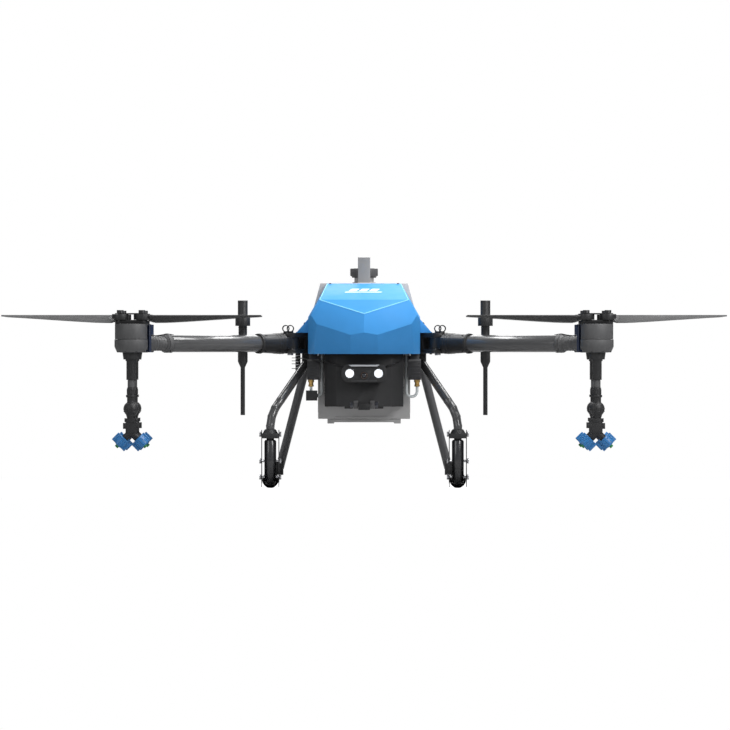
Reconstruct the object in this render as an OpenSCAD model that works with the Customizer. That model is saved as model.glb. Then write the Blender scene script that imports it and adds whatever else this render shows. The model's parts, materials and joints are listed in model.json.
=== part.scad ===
// Agricultural spray drone: four folding arms, ten litre tank, skid landing gear.
// Millimetres. Z up, front faces -Y, ground at Z = 0.

/* [Airframe] */
// distance of each motor from the middle plane, sideways
motor_x = 547; // [520:1:580]
// distance of each motor from the middle plane, fore and aft
motor_y = 460; // [430:1:490]
// height of the arm tube axis
arm_z = 340.5; // [338:0.5:343]
// diameter of the arm tube
tube_d = 40; // [36:1:42]
// wall of the arm tube
tube_wall = 2; // [1:0.5:3]

/* [Propeller] */
// radius of the propeller
prop_r = 305; // [280:1:320]
// widest chord of a blade
blade_chord = 60; // [45:1:66]
// distance of a blade bolt from the motor axis
bolt_off = 25.5; // [25:0.5:27]

/* [Tank] */
// half width of the lower tank
tank_half = 108.5; // [100:0.5:108.5]
// wall of the tank
tank_wall = 3; // [2:0.5:4]
// height of the underside of the tank body
tank_low = 163; // [158:1:175]

/* [Landing gear] */
// distance of each skid from the middle plane
skid_x = 221; // [215:1:228]
// diameter of the skid tube
skid_d = 28; // [24:1:30]
// diameter of the legs
leg_d = 20; // [16:1:20]

/* [Shell] */
// wall of the blue head shell
shell_wall = 3; // [2:0.5:4]

/* [Hidden] */
$fn = 48;
e = 1;
hinge_x = 174;
hinge_y = 147;
arm_turn = atan2(motor_y - hinge_y, motor_x - hinge_x);
arm_len = norm([motor_x - hinge_x, motor_y - hinge_y]);
plate_low = 317;
plate_top = 366;
plate_t = 3;
lug_r = 23;
lug_in = 62;
pin_r = 4;
run_gap = 0.05;
lock_off = 14;
lock_r = 3;
knuckle_low = 328.3;
knuckle_high = 354.7;
cheek_low = 328;
cheek_high = 355;
sleeve_in = 25;
sleeve_out = 95;
tube_in = 60;
tube_out = 384;
antenna_off = 119;
antenna_gap = 32;
base_low = 319.5;
base_high = 350;
bell_low = 350.4;
bell_high = 386.6;
hub_low_top = 396;
hub_high = 410;
blade_z = 407.5;
tank_front = -90;
tank_back = 75;
skid_z = 19;
foot_r = 19.3;
skid_bend = 45;
riser_y = -165;
riser_top = 111;
skid_end = 235;
front_leg = [[126, -80, 310], [197, -143, 206.5], [209.5, -154.5, 188], [217.5, -162, 168],
    [221, -165, 146], [221, -165, 119]];
rear_leg = [[131, 90, 311], [199.5, 182.5, 47]];
leg_shift = skid_x - 221;
pump_y = -127.5;
hose_r = 3.3;
hose_bore = 2;
hose_in = 100;
hose_out = 125;
bend_weld = 0.4;

grey = [0.42, 0.42, 0.43];
dark = [0.12, 0.12, 0.13];
mid = [0.47, 0.47, 0.48];
blue = [0.22, 0.52, 0.85];
steel = [0.7, 0.7, 0.72];
clear = [0.75, 0.85, 0.9];
capblue = [0.12, 0.4, 0.72];
pale = [0.9, 0.9, 0.9];

// ---- places ----

module at_hinge(sx, sy) {
    translate([sx * hinge_x, sy * hinge_y, 0])
        rotate([0, 0, atan2(sy * sin(arm_turn), sx * cos(arm_turn))])
            children();
}

module at_motor(sx, sy) {
    translate([sx * motor_x, sy * motor_y, 0])
        children();
}

module both_sides() {
    for (sx = [-1, 1])
        at_side(sx)
            children();
}

module at_side(sx) {
    if (sx > 0)
        children();
    else
        mirror([1, 0, 0])
            children();
}

module corners() {
    for (sx = [-1, 1])
        for (sy = [-1, 1])
            at_hinge(sx, sy)
                children();
}

// a round bar between two points
module bar(p, q, r) {
    d = q - p;
    translate(p)
        rotate([0, acos(d[2] / norm(d)), atan2(d[1], d[0])])
            cylinder(h = norm(d), r = r);
}

// a round bar through a list of points, with round bends
module bent_bar(pts, r) {
    for (i = [0 : len(pts) - 2])
        bar(pts[i], pts[i + 1], r);
    for (i = [1 : len(pts) - 2])
        translate(pts[i])
            sphere(r = r + bend_weld);
}

// a flat shape with round corners
module soft_rect(w, h, r) {
    square([w - 2 * r, h], center = true);
    square([w, h - 2 * r], center = true);
    for (x = [-1, 1])
        for (y = [-1, 1])
            translate([x * (w / 2 - r), y * (h / 2 - r)])
                circle(r = r);
}

// a front view shape drawn out from y0 back to y1
module deep(y0, y1) {
    translate([0, y1, 0])
        rotate([90, 0, 0])
            linear_extrude(height = y1 - y0)
                children();
}

// ---- frame ----

module plate_shape() {
    difference() {
        union() {
            translate([-118, -150])
                square([236, 328]);
            translate([-150, -112])
                square([300, 224]);
            corners() {
                circle(r = lug_r);
                translate([-lug_in, -lug_r])
                    square([lug_in, 2 * lug_r]);
            }
        }
        translate([-109.5, tank_front - 1.5])
            square([219, tank_back - tank_front + 3]);
        translate([-98.5, 87.5])
            square([197, 75]);
        corners()
            circle(r = pin_r);
        for (x = [-136, 136])
            for (y = [-40, -20])
                translate([x, y])
                    circle(r = 2.1);
    }
}

module frame_plates() {
    color(dark) {
        translate([0, 0, plate_low])
            linear_extrude(height = plate_t)
                plate_shape();
        translate([0, 0, plate_top - plate_t])
            linear_extrude(height = plate_t)
                difference() {
                    plate_shape();
                    corners()
                        translate([lock_off, 0])
                            circle(r = lock_r + run_gap);
                }
        for (x = [-136, 136])
            for (y = [-75, 10, 80])
                translate([x, y, plate_low + plate_t])
                    cylinder(h = plate_top - plate_low - 2 * plate_t, r = 5);
    }
}

module mount_cheek() {
    circle(r = lug_r);
    translate([-lug_in, -lug_r])
        square([lug_in, 2 * lug_r]);
}

module arm_mounts() {
    color(dark)
        corners()
            difference() {
                union() {
                    translate([0, 0, plate_low + plate_t])
                        linear_extrude(height = cheek_low - plate_low - plate_t)
                            mount_cheek();
                    translate([0, 0, cheek_high])
                        linear_extrude(height = plate_top - plate_t - cheek_high)
                            mount_cheek();
                    translate([-lug_in, -lug_r, plate_low + plate_t])
                        cube([35, 2 * lug_r, plate_top - plate_low - 2 * plate_t]);
                }
                translate([0, 0, plate_low])
                    cylinder(h = plate_top - plate_low, r = pin_r);
                translate([lock_off, 0, cheek_high - e])
                    cylinder(h = plate_top - cheek_high, r = lock_r + run_gap);
            }
}

module pull_ring() {
    translate([0, 0, 376])
        rotate([90, 0, 0])
            rotate_extrude()
                translate([7.4, 0])
                    circle(r = 1.1, $fn = 24);
}

// pull rings stand across the view from the front
module ring_upright(sx, sy) {
    rotate([0, 0, -atan2(sy * sin(arm_turn), sx * cos(arm_turn))])
        pull_ring();
}

module steel_pins_bolts() {
    color(steel) {
        for (sx = [-1, 1])
            for (sy = [-1, 1])
                at_hinge(sx, sy) {
                    translate([0, 0, 314])
                        cylinder(h = plate_top - 314, r = pin_r);
                    translate([0, 0, 313])
                        cylinder(h = plate_low - 313, r = 7, $fn = 6);
                    translate([0, 0, plate_top])
                        cylinder(h = 3.5, r = 7);
                    ring_upright(sx, sy);
                }
        both_sides()
            skid_bolts();
    }
}

// ---- head shell ----

head_tip = [0, -267, 411];
head_brow = [32, -269.6, 361];
head_top = [87, -96, 482];
head_cheek = [118, -176, 316];

// everything on the far side of a plane from its outward normal
module behind_plane(p, n, t) {
    u = n / norm(n);
    translate(p - t * u)
        rotate([0, acos(u[2]), atan2(u[1], u[0])])
            translate([-400, -400, -800])
                cube([800, 800, 800]);
}

module head_form(t, open) {
    intersection() {
        translate([-132 + t, -300, 316 - open])
            cube([264 - 2 * t, 205 + open, 200]);
        behind_plane(head_top, [0, -38, 144], t);
        behind_plane(head_tip, [0, -33, 27], t);
        behind_plane(head_brow, [0, -1, -0.982], t);
        side_planes(-1, t);
        side_planes(1, t);
    }
}

module side_planes(s, t) {
    intersection() {
        behind_plane(head_tip, [0.2 * s, -1, 0.18], t);
        behind_plane([head_brow[0] * s, head_brow[1], head_brow[2]], [0.574 * s, -1, -0.982], t);
        behind_plane([head_cheek[0] * s, head_cheek[1], head_cheek[2]], [s, -0.553, -0.481], t);
        behind_plane([head_top[0] * s, head_top[1], head_top[2]], [s, -0.0257, 0.5712], t);
    }
}

module head_shell() {
    color(blue) {
        difference() {
            head_form(0, 0);
            head_form(shell_wall, e);
            translate([-200, -152, 300])
                cube([400, 100, plate_top - 300]);
        }
        for (s = [-1, 1])
            shoulder(s);
    }
}

// wedge over each front arm root
module shoulder(s) {
    difference() {
        deep(-150, -97)
            polygon([[s * 105, plate_top], [s * 160, plate_top], [s * 127, 404], [s * 105, 404]]);
        deep(-148, -96)
            polygon([[s * 104, plate_top - e], [s * 156, plate_top - e], [s * 126, 401], [s * 104, 401]]);
        head_form(0, 0);
    }
}

// ---- front box and camera ----

module box_plan(t) {
    polygon([[-92.6 + t, -98 + t], [92.6 - t, -98 + t], [92.6 - t, -152 + t / 2],
        [65 - t / 2, -175 + t], [-65 + t / 2, -175 + t], [-92.6 + t, -152 + t / 2]]);
}

module electronics_box() {
    color(dark) {
        difference() {
            translate([0, 0, 192])
                linear_extrude(height = plate_low - 192)
                    box_plan(0);
            translate([0, 0, 195])
                linear_extrude(height = plate_low - 3 - 195)
                    box_plan(3);
            translate([-86, -102, 200])
                cube([172, 10, plate_low - 210]);
        }
        for (x = [-25, 14])
            translate([x, -176, 187])
                cube([11, 20, 17]);
        translate([-13.5, -181, 184])
            cube([27, 12, 15]);
        for (x = [-46, 25.5])
            translate([x, -172, 187])
                cube([20, 60, 5]);
    }
}

module camera_pod() {
    color(dark)
        difference() {
            deep(-213, -175)
                translate([0, 270.5])
                    soft_rect(107, 43, 18);
            for (x = [-34, 34])
                translate([x, 0, 270])
                    deep(-214, -205)
                        circle(r = 11);
            translate([0, 0, 265.5])
                deep(-214, -205)
                    circle(r = 9);
        }
}

module camera_optics() {
    color(pale) {
        for (x = [-34, 34])
            translate([x, 0, 270])
                deep(-215, -205)
                    circle(r = 11);
        translate([0, 0, 265.5])
            deep(-217, -205)
                circle(r = 9);
        deep(-221, -213)
            polygon([[-41, 291], [41, 291], [29, 283], [-29, 283]]);
    }
}

// ---- battery ----

module battery_tray() {
    color(dark)
        difference() {
            translate([-102.5, 84, 284])
                cube([205, 82, plate_low - 284]);
            translate([-98.4, 87.6, 288])
                cube([196.8, 74.8, 40]);
        }
}

module battery() {
    color(dark) {
        translate([-98, 88, 288])
            cube([196, 74, 142]);
        difference() {
            translate([-45, 112, 430])
                cube([90, 26, 38]);
            translate([-33, 110, 430])
                cube([66, 30, 27]);
        }
    }
}

// ---- tank ----

module tank_upper(t) {
    deep(-93 + t, 80 - t)
        polygon([[-121 + t, plate_top], [121 - t, plate_top], [121 - t, 417], [103 - t, 483 - t],
            [-103 + t, 483 - t], [-121 + t, 417]]);
}

module tank() {
    color(grey)
        difference() {
            union() {
                tank_upper(0);
                translate([-tank_half, tank_front, tank_low])
                    cube([2 * tank_half, tank_back - tank_front, plate_top - tank_low + e]);
                translate([-86.5, tank_front + 4, tank_low - 8])
                    cube([173, tank_back - tank_front - 8, 10]);
                for (x = [-86.5, 70.5])
                    for (y = [tank_front + 4, tank_back - 20])
                        translate([x, y, tank_low - 11])
                            cube([16, 16, 5]);
                translate([0, 38, 480])
                    cylinder(h = 30, r = 23);
                tank_handle();
            }
            translate([-tank_half + tank_wall, tank_front + tank_wall, tank_low])
                cube([2 * (tank_half - tank_wall), tank_back - tank_front - 2 * tank_wall,
                    plate_top - tank_low + e]);
            translate([0, 0, tank_wall])
                cavity_top();
            translate([0, 38, 470])
                cylinder(h = 60, r = 20);
        }
}

module cavity_top() {
    deep(-93 + tank_wall, 80 - tank_wall)
        polygon([[-118, plate_top], [118, plate_top], [118, 413], [100.5, 477], [-100.5, 477],
            [-118, 413]]);
}

module tank_handle() {
    difference() {
        translate([-14.5, -78, 482])
            cube([29, 72, 62]);
        translate([-20, -64, 488])
            cube([40, 44, 40]);
        translate([-20, -78, 544])
            rotate([45, 0, 0])
                cube([40, 14, 14], center = false);
    }
}

module filler_cap() {
    color(dark)
        difference() {
            union() {
                translate([0, 38, 500])
                    cylinder(h = 18, r = 32.75);
                translate([0, 38, 496])
                    cylinder(h = 5, r = 29);
            }
            translate([0, 38, 490])
                cylinder(h = 20.4, r = 23 + run_gap);
        }
}

// ---- landing gear ----

module front_leg() {
    translate([leg_shift, 0, 0])
        bent_bar(front_leg, leg_d / 2);
}

module rear_leg() {
    translate([leg_shift, 0, 0])
        bar(rear_leg[0], rear_leg[1], leg_d / 2);
}

module landing_legs() {
    color(dark)
        both_sides()
            difference() {
                front_leg();
                bolt_holes();
            }
    color(grey)
        both_sides()
            rear_leg();
}

module skid_tube() {
    r = skid_d / 2;
    translate([skid_x, riser_y, skid_z + skid_bend])
        cylinder(h = riser_top - skid_z - skid_bend, r = r);
    translate([skid_x, riser_y + skid_bend, skid_z + skid_bend])
        rotate([90, 0, -90])
            rotate_extrude(angle = -90)
                translate([skid_bend, 0])
                    circle(r = r);
    translate([skid_x, riser_y + skid_bend, skid_z])
        rotate([-90, 0, 0])
            cylinder(h = skid_end - riser_y - skid_bend, r = r);
    translate([skid_x, skid_end, skid_z])
        sphere(r = r);
}

module skid_bolts() {
    for (p = [[riser_y, 127], [riser_y, 64], [-148, 26]])
        translate([skid_x - 26, p[0], p[1]])
            rotate([0, 90, 0]) {
                cylinder(h = 52, r = 3);
                cylinder(h = 4.75, r = 6, $fn = 6);
                translate([0, 0, 47.25])
                    cylinder(h = 4.75, r = 6, $fn = 6);
            }
}

module bolt_holes() {
    for (p = [[riser_y, 127], [riser_y, 64], [-148, 26]])
        translate([skid_x - 30, p[0], p[1]])
            rotate([0, 90, 0])
                cylinder(h = 60, r = 3);
}

module skids() {
    color(mid)
        both_sides()
            difference() {
                skid_tube();
                bolt_holes();
            }
}

module skid_feet() {
    color(dark)
        both_sides()
            for (y = [-98, 150])
                translate([skid_x, y, skid_z])
                    rotate([-90, 0, 0])
                        difference() {
                            cylinder(h = 60, r = foot_r);
                            translate([0, 0, -e])
                                cylinder(h = 62, r = skid_d / 2);
                            translate([-foot_r, skid_z, -e])
                                cube([2 * foot_r, 5, 62]);
                        }
}

module leg_brackets() {
    color(dark)
        both_sides() {
            difference() {
                translate([leg_shift + 110.5, -96, 292])
                    cube([34, 32, plate_low - 292]);
                front_leg();
            }
            difference() {
                translate([leg_shift + 113, 76, 294])
                    cube([34, 32, plate_low - 294]);
                rear_leg();
            }
            front_clamp();
            for (s = [-1, 1])
                side_plate(s);
            rear_clamp();
        }
}

module front_clamp() {
    difference() {
        union() {
            translate([skid_x - 19.25, riser_y - 18, 117])
                cube([38.5, 36, 12]);
            translate([skid_x, riser_y, 129])
                cylinder(h = 8, r1 = 18, r2 = 14);
            translate([skid_x, riser_y, riser_top])
                cylinder(h = 7, r = 9);
        }
        front_leg();
        bolt_holes();
    }
}

module side_plate(s) {
    difference() {
        translate([skid_x + s * 20.25 - 1, 0, 0])
            rotate([90, 0, 90])
                linear_extrude(height = 2)
                    polygon([[-182, 137], [-148, 137], [-146, 70], [-122, 45], [-101, 36],
                        [-101, 2], [-160, 2], [-182, 40]]);
        bolt_holes();
    }
}

module rear_clamp() {
    difference() {
        translate([skid_x - 30, 166, 30])
            cube([40, 34, 34]);
        rear_leg();
        skid_tube();
        translate([skid_x, 140, skid_z])
            rotate([-90, 0, 0])
                cylinder(h = 80, r = foot_r);
    }
}

// ---- pumps and hoses ----

module pumps() {
    color(dark)
        both_sides() {
            translate([104, -150, 255])
                cube([30, 45, 43]);
            translate([104, -148, 298])
                cube([30, 41, 6]);
            translate([108, -146, 304])
                cube([22, 20, plate_low - 304]);
            translate([hose_out, pump_y, 239])
                difference() {
                    cylinder(h = 16, r = 5);
                    translate([0, 0, -e])
                        cylinder(h = 12, r = hose_bore);
                }
        }
}

module hose_ring() {
    difference() {
        circle(r = hose_r, $fn = 24);
        circle(r = hose_bore, $fn = 24);
    }
}

// a straight piece of hose going up
module hose_up(x, z0, z1) {
    translate([x, pump_y, z0])
        linear_extrude(height = z1 - z0)
            hose_ring();
}

module hoses() {
    bend = (hose_out - hose_in) / 2;
    color(clear) {
        hose_up(hose_out, 228, 239);
        hose_up(hose_in, 228, plate_low);
        translate([hose_in + bend, pump_y, 228])
            rotate([90, 0, 0])
                rotate_extrude(angle = -180)
                    translate([bend, 0])
                        hose_ring();
        hose_up(-hose_out, 230, 239);
        hose_up(-hose_in, 227, plate_low);
        translate([-hose_in - 9, pump_y, 227])
            rotate([90, 0, 0])
                rotate_extrude(angle = -90)
                    translate([9, 0])
                        hose_ring();
        translate([-hose_in - 9, pump_y, 218])
            rotate([0, -90, 0])
                linear_extrude(height = 1)
                    hose_ring();
    }
}

module side_modules() {
    color(dark) {
        translate([-137, -142, 206])
            cube([27, 29, 24]);
        translate([-150, -40, 277])
            mirror([1, 0, 0])
                cube([12, 40, plate_low - 277]);
    }
    color(pale)
        for (z = [281, 292, 299, 306])
            translate([-171, -38, z])
                cube([9, 36, 1.5]);
}

// ---- arm ----

module arm_hinge() {
    color(dark)
        difference() {
            union() {
                translate([0, 0, knuckle_low])
                    cylinder(h = knuckle_high - knuckle_low, r = 22);
                translate([0, -20, knuckle_low])
                    cube([sleeve_in + 5, 40, knuckle_high - knuckle_low]);
                translate([sleeve_in, 0, arm_z])
                    rotate([0, 90, 0])
                        cylinder(h = sleeve_out - sleeve_in, r1 = 24.5, r2 = 21.5);
                translate([sleeve_out - 1, 0, arm_z])
                    rotate([0, 90, 0])
                        cylinder(h = 5, r = 23.5);
            }
            translate([0, 0, knuckle_low - e])
                cylinder(h = knuckle_high - knuckle_low + 2 * e, r = pin_r + run_gap);
            translate([tube_in, 0, arm_z])
                rotate([0, 90, 0])
                    cylinder(h = 60, r = tube_d / 2);
        }
}

module arm_tube() {
    color(grey)
        translate([tube_in, 0, arm_z])
            rotate([0, 90, 0])
                difference() {
                    cylinder(h = tube_out - tube_in, r = tube_d / 2);
                    translate([0, 0, -e])
                        cylinder(h = tube_out - tube_in + 2 * e, r = tube_d / 2 - tube_wall);
                }
}

module along_arm(x, h, r1, r2) {
    translate([x, 0, arm_z])
        rotate([0, 90, 0])
            cylinder(h = h, r1 = r1, r2 = r2);
}

// motor mount casting with stator, small sleeve and the clamp round the tube end
module motor_base() {
    color(mid)
        difference() {
            union() {
                translate([arm_len, 0, 333])
                    cylinder(h = base_high - 333, r = 39);
                translate([arm_len, 0, base_low])
                    cylinder(h = 333 - base_low, r1 = 33, r2 = 39);
                translate([arm_len, 0, base_high - e])
                    cylinder(h = 24, r = 32);
                along_arm(tube_out, 48, 16.5, 16.5);
                along_arm(430, 18, 19, 19);
                translate([430, -15, 326])
                    cube([30, 30, base_high - 327]);
                along_arm(tube_out - 12, 12, 21.5, 21.5);
                along_arm(tube_out - e, 6, 21.5, 17.5);
            }
            translate([arm_len, 0, 324])
                cylinder(h = 60, r = pin_r + run_gap);
            along_arm(362, tube_out - 362, tube_d / 2, tube_d / 2);
        }
}

module nozzle() {
    color(dark)
        translate([arm_len, 0, 0]) {
            translate([0, 0, 303])
                cylinder(h = base_low - 303, r1 = 18, r2 = 20.3);
            translate([0, 0, 255])
                cylinder(h = 49, r = 11);
            translate([0, 0, 236])
                cylinder(h = 20, r = 7.5);
            translate([0, 0, 195])
                cylinder(h = 42, r = 9.5);
            translate([0, 0, 214])
                cylinder(h = 6, r = 12);
            translate([0, 0, 187])
                sphere(r = 18);
            translate([0, 0, 162])
                cylinder(h = 14, r1 = 8.5, r2 = 13);
        }
}

// the Y body stays square to the airframe
module nozzle_fork() {
    color(dark) {
        translate([-15.5, -10, 156])
            cube([31, 20, 9]);
        translate([-19, -9, 140])
            cube([38, 18, 14]);
        translate([-13, -9, 130])
            cube([26, 18, 28]);
        for (s = [-1, 1])
            translate([0, 0, 132.5])
                rotate([0, s * 135, 0])
                    cylinder(h = 23 * sqrt(2) - 11.35, r = 8.5);
    }
}

module spray_caps() {
    color(capblue)
        for (s = [-1, 1])
            translate([s * 23, 0, 109.5])
                rotate([0, s * 135, 0])
                    translate([0, 0, -11.35]) {
                        cylinder(h = 22.7, r = 16);
                        translate([-20.4, -6, 0])
                            cube([40.8, 12, 22.7]);
                    }
    color([0.1, 0.5, 0.2])
        for (s = [-1, 1])
            translate([s * 23, 0, 109.5])
                rotate([0, s * 135, 0])
                    translate([0, 0, 11.35])
                        cylinder(h = 6, r = 4.5);
}

// ground antenna on a saddle behind the tube, whip downwards
module antenna(side) {
    color(dark)
        difference() {
            translate([antenna_off, side * antenna_gap, 0]) {
                translate([-14, side > 0 ? -24 : -11, 326])
                    cube([28, 35, 29]);
                translate([0, 0, 350])
                    cylinder(h = 33, r = 10);
                translate([0, 0, 382])
                    cylinder(h = 20, r = 17.5);
                translate([0, 0, 401])
                    cylinder(h = 41, r = 11.65);
                translate([0, 0, 298])
                    cylinder(h = 30, r = 11.5);
                translate([0, 0, 284])
                    cylinder(h = 14, r1 = 5.25, r2 = 11.5);
                translate([0, 0, 172])
                    cylinder(h = 113, r = 5.25);
            }
            along_arm(antenna_off - 30, 60, tube_d / 2, tube_d / 2);
        }
}

// the pin stops just above the knuckle so that the arm can be swung
module lock_pin(sx, sy) {
    color(steel)
        translate([lock_off, 0, 0]) {
            translate([0, 0, knuckle_high + 0.35])
                cylinder(h = 12, r = lock_r);
            translate([0, 0, plate_top])
                cylinder(h = 3.5, r = 5.5);
            ring_upright(sx, sy);
        }
}

// ---- rotor ----

module motor_bell() {
    color(mid)
        difference() {
            union() {
                translate([0, 0, bell_low])
                    cylinder(h = bell_high - bell_low, r = 38);
                translate([0, 0, 325])
                    cylinder(h = 60, r = pin_r);
            }
            translate([0, 0, bell_low - e])
                difference() {
                    cylinder(h = 28, r = 35);
                    cylinder(h = 28, r = pin_r);
                }
        }
}

module hub_plan() {
    square([2 * bolt_off, 25], center = true);
    for (s = [-1, 1])
        translate([s * bolt_off, 0])
            circle(r = 12.5);
}

module prop_hub() {
    color(dark) {
        translate([0, 0, bell_high])
            linear_extrude(height = hub_low_top - bell_high)
                hub_plan();
        translate([0, 0, hub_high])
            linear_extrude(height = 2)
                hub_plan();
        for (s = [-1, 1])
            translate([s * bolt_off, 0, hub_low_top - e]) {
                cylinder(h = hub_high - hub_low_top + 2 * e, r = pin_r);
                translate([0, 0, 16])
                    cylinder(h = 8, r = 8);
            }
    }
}

// station radius, chord and height of each blade section
blade_at = [[38, 30, 4], [44, 38, 12], [52, 46, 16], [75, 57, 16], [95, 60, 15.5], [125, 58, 14],
    [160, 52, 12], [200, 45, 9.5], [240, 37, 7], [275, 28, 5], [296, 18, 4], [305, 8, 3]];
blade_round = [[-0.5, 0], [-0.42, 0.45], [-0.2, 0.5], [0.1, 0.42], [0.35, 0.25], [0.5, 0],
    [0.35, -0.2], [0.1, -0.3], [-0.2, -0.35], [-0.42, -0.3]];

// one corner of a blade section; the top edge stays level
function blade_point(s, p, hand) =
    [s[0] - 305 + prop_r, hand * (p[0] * s[1]),
        blade_z - s[2] * (p[0] + 0.42) + (p[1] - 0.45) * blade_thick(s)];

function blade_thick(s) = s[0] < 50 ? 9 : max(1.6, 7 - (s[0] - 50) / 45);

module blade_loft(hand) {
    n = len(blade_round);
    m = len(blade_at);
    polyhedron(
        points = [for (s = blade_at) for (p = blade_round) blade_point(s, p, hand)],
        faces = concat(
            [[for (i = [0 : n - 1]) hand < 0 ? i : n - 1 - i]],
            [[for (i = [0 : n - 1]) (m - 1) * n + (hand < 0 ? n - 1 - i : i)]],
            [for (j = [0 : m - 2]) for (i = [0 : n - 1])
                hand < 0 ? [j * n + i, j * n + n + i, j * n + (i + 1) % n]
                    : [j * n + (i + 1) % n, j * n + n + i, j * n + i]],
            [for (j = [0 : m - 2]) for (i = [0 : n - 1])
                hand < 0 ? [j * n + (i + 1) % n, j * n + n + i, j * n + n + (i + 1) % n]
                    : [j * n + n + (i + 1) % n, j * n + n + i, j * n + (i + 1) % n]]));
}

module blade(hand) {
    color(mid)
        difference() {
            union() {
                translate([bolt_off, 0, hub_low_top + 0.35])
                    cylinder(h = hub_high - hub_low_top - 0.7, r = 19.5);
                blade_loft(hand);
            }
            translate([bolt_off, 0, hub_low_top - e])
                cylinder(h = 20, r = pin_r + run_gap);
        }
}

// ---- assembled pieces ----

module placed_nozzle(sx, sy) {
    at_hinge(sx, sy)
        nozzle();
    at_motor(sx, sy)
        nozzle_fork();
}

module placed_caps(sx, sy) {
    at_motor(sx, sy)
        spray_caps();
}

// outward blade lies away from the body, inward blade towards it
module placed_blade(sx, sy, out) {
    hand = sx * sy;
    at_motor(sx, sy)
        rotate([0, 0, sx * out > 0 ? 0 : 180])
            blade(hand);
}

frame_plates();
arm_mounts();
steel_pins_bolts();
head_shell();
electronics_box();
camera_pod();
camera_optics();
battery_tray();
landing_legs();
skids();
skid_feet();
leg_brackets();
pumps();
hoses();
side_modules();
tank();
filler_cap();
battery();
at_hinge(1, -1) lock_pin(1, -1);  // lock_pin_fr
at_hinge(-1, -1) lock_pin(-1, -1);  // lock_pin_fl
at_hinge(1, 1) lock_pin(1, 1);  // lock_pin_rr
at_hinge(-1, 1) lock_pin(-1, 1);  // lock_pin_rl
at_hinge(1, -1) arm_hinge();  // arm_hinge_fr
at_hinge(-1, -1) arm_hinge();  // arm_hinge_fl
at_hinge(1, 1) arm_hinge();  // arm_hinge_rr
at_hinge(-1, 1) arm_hinge();  // arm_hinge_rl
at_hinge(1, -1) arm_tube();  // arm_tube_fr
at_hinge(-1, -1) arm_tube();  // arm_tube_fl
at_hinge(1, 1) arm_tube();  // arm_tube_rr
at_hinge(-1, 1) arm_tube();  // arm_tube_rl
at_hinge(1, -1) motor_base();  // motor_base_fr
at_hinge(-1, -1) motor_base();  // motor_base_fl
at_hinge(1, 1) motor_base();  // motor_base_rr
at_hinge(-1, 1) motor_base();  // motor_base_rl
placed_nozzle(1, -1);  // nozzle_fr
placed_nozzle(-1, -1);  // nozzle_fl
placed_nozzle(1, 1);  // nozzle_rr
placed_nozzle(-1, 1);  // nozzle_rl
placed_caps(1, -1);  // spray_caps_fr
placed_caps(-1, -1);  // spray_caps_fl
placed_caps(1, 1);  // spray_caps_rr
placed_caps(-1, 1);  // spray_caps_rl
at_hinge(1, -1) antenna(1);  // antenna_fr
at_hinge(-1, -1) antenna(-1);  // antenna_fl
at_motor(1, -1) motor_bell();  // motor_bell_fr
at_motor(-1, -1) motor_bell();  // motor_bell_fl
at_motor(1, 1) motor_bell();  // motor_bell_rr
at_motor(-1, 1) motor_bell();  // motor_bell_rl
at_motor(1, -1) prop_hub();  // prop_hub_fr
at_motor(-1, -1) prop_hub();  // prop_hub_fl
at_motor(1, 1) prop_hub();  // prop_hub_rr
at_motor(-1, 1) prop_hub();  // prop_hub_rl
placed_blade(1, -1, 1);  // blade_out_fr
placed_blade(-1, -1, 1);  // blade_out_fl
placed_blade(1, 1, 1);  // blade_out_rr
placed_blade(-1, 1, 1);  // blade_out_rl
placed_blade(1, -1, -1);  // blade_in_fr
placed_blade(-1, -1, -1);  // blade_in_fl
placed_blade(1, 1, -1);  // blade_in_rr
placed_blade(-1, 1, -1);  // blade_in_rl
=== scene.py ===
import math

import bmesh
import bpy
from mathutils import Matrix, Vector
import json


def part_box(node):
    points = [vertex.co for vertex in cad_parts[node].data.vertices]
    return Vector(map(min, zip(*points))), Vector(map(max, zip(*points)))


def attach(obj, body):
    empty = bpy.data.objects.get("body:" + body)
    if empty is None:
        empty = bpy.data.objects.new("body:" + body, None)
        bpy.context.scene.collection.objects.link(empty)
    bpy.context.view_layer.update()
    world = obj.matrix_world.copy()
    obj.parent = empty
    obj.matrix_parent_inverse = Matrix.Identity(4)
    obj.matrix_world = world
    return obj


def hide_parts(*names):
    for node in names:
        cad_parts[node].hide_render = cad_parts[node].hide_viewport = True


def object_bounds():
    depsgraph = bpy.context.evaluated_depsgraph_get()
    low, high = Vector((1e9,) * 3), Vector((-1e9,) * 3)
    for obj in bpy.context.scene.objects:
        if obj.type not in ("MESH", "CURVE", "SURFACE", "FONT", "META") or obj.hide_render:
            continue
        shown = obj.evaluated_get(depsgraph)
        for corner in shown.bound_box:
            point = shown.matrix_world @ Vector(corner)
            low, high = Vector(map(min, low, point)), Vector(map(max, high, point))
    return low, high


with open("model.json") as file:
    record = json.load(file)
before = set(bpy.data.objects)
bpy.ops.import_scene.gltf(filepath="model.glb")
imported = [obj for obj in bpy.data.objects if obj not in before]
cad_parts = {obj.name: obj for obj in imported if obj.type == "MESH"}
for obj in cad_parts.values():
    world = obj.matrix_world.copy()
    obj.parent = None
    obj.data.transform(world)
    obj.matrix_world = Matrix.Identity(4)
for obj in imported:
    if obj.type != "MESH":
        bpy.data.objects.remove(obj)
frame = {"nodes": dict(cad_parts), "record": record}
box_at_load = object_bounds()

nodes = frame["nodes"]
joints = {j["name"]: j for j in frame["record"]["behaviour"]["joints"]}
slot_of = {s["node"]: s["material_slot"] for s in frame["record"]["subparts"]}
body_of = {n: b for b, names in frame["record"]["behaviour"]["bodies"].items() for n in names}
CORNERS = ("fr", "fl", "rr", "rl")
FRONT = ("fr", "fl")
MM = 0.001

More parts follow.
